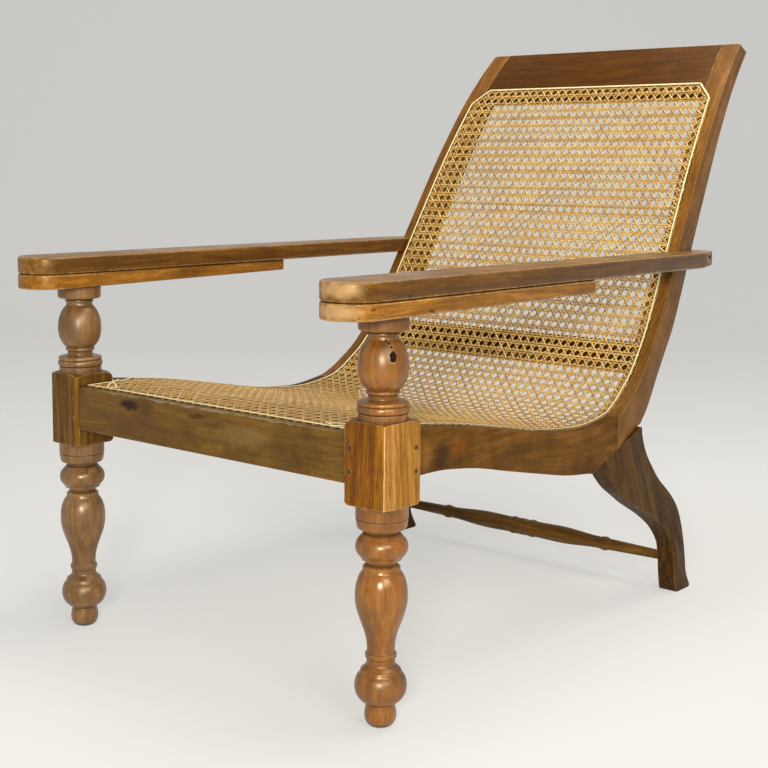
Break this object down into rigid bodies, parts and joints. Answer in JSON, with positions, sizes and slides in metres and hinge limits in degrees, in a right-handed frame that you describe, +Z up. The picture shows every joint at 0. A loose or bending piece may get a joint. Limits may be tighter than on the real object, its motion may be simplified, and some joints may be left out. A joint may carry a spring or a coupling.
{
  "type": "planters chair",
  "caption": "Reclining armchair with turned front legs, a cane seat and back in one sweep, long flat arms and a swing-out leg rest under each arm.",
  "frame": {"origin": "middle of the chair's length and width, on the floor", "axes": "+Z up, +Y from the front of the seat to the back, +X to the right of someone who looks at the chair's front from -Y"},
  "size_m": [0.744, 1.2498, 1.009],
  "materials": {
    "leg_wood": "oiled turned hardwood, satin",
    "arm_wood": "worn waxed hardwood, satin",
    "rest_wood": "waxed hardwood, satin",
    "rail_wood": "stained hardwood, satin",
    "side_wood": "waxed hardwood, satin",
    "crest_wood": "dark waxed hardwood, satin",
    "peg_wood": "dark end grain",
    "cane": "woven split cane",
    "binder": "split cane strip, slightly glossy"
  },
  "bodies": {
    "frame": {"front_leg_right": "leg_wood", "front_leg_left": "leg_wood", "arm_right": "arm_wood", "arm_left": "arm_wood", "seat_rail_right": "side_wood", "seat_rail_left": "side_wood", "back_stile_right": "side_wood", "back_stile_left": "side_wood", "rear_leg_right": "side_wood", "rear_leg_left": "side_wood", "rear_leg_wing_right": "side_wood", "rear_leg_wing_left": "side_wood", "front_rail_peg_lower_right": "peg_wood", "front_rail_peg_lower_left": "peg_wood", "seat_rail_peg_lower_right": "peg_wood", "seat_rail_peg_lower_left": "peg_wood", "front_rail_peg_upper_right": "peg_wood", "front_rail_peg_upper_left": "peg_wood", "seat_rail_peg_upper_right": "peg_wood", "seat_rail_peg_upper_left": "peg_wood", "arm_pin_right": "peg_wood", "arm_pin_left": "peg_wood", "arm_peg_right": "peg_wood", "arm_peg_left": "peg_wood", "rear_leg_dowel_front_right": "peg_wood", "rear_leg_dowel_front_left": "peg_wood", "rear_leg_dowel_rear_right": "peg_wood", "rear_leg_dowel_rear_left": "peg_wood", "side_binder_right": "binder", "side_binder_left": "binder", "front_rail": "rail_wood", "crest_rail": "crest_wood", "cross_rail": "crest_wood", "rear_stretcher": "side_wood", "cane_panel": "cane", "front_binder": "binder", "crest_binder": "binder"},
    "leg_rest_right": {"leg_rest_right": "rest_wood"},
    "leg_rest_left": {"leg_rest_left": "rest_wood"}
  },
  "joints": [
    {"name": "leg_rest_right_swing", "type": "hinge", "parent": "frame", "child": "leg_rest_right", "pos_m": [0.325, -0.51787, 0.5825], "axis": [0, 0, -1], "range_deg": [0, 180]},
    {"name": "leg_rest_left_swing", "type": "hinge", "parent": "frame", "child": "leg_rest_left", "pos_m": [-0.325, -0.51787, 0.5825], "axis": [0, 0, 1], "range_deg": [0, 180]}
  ]
}
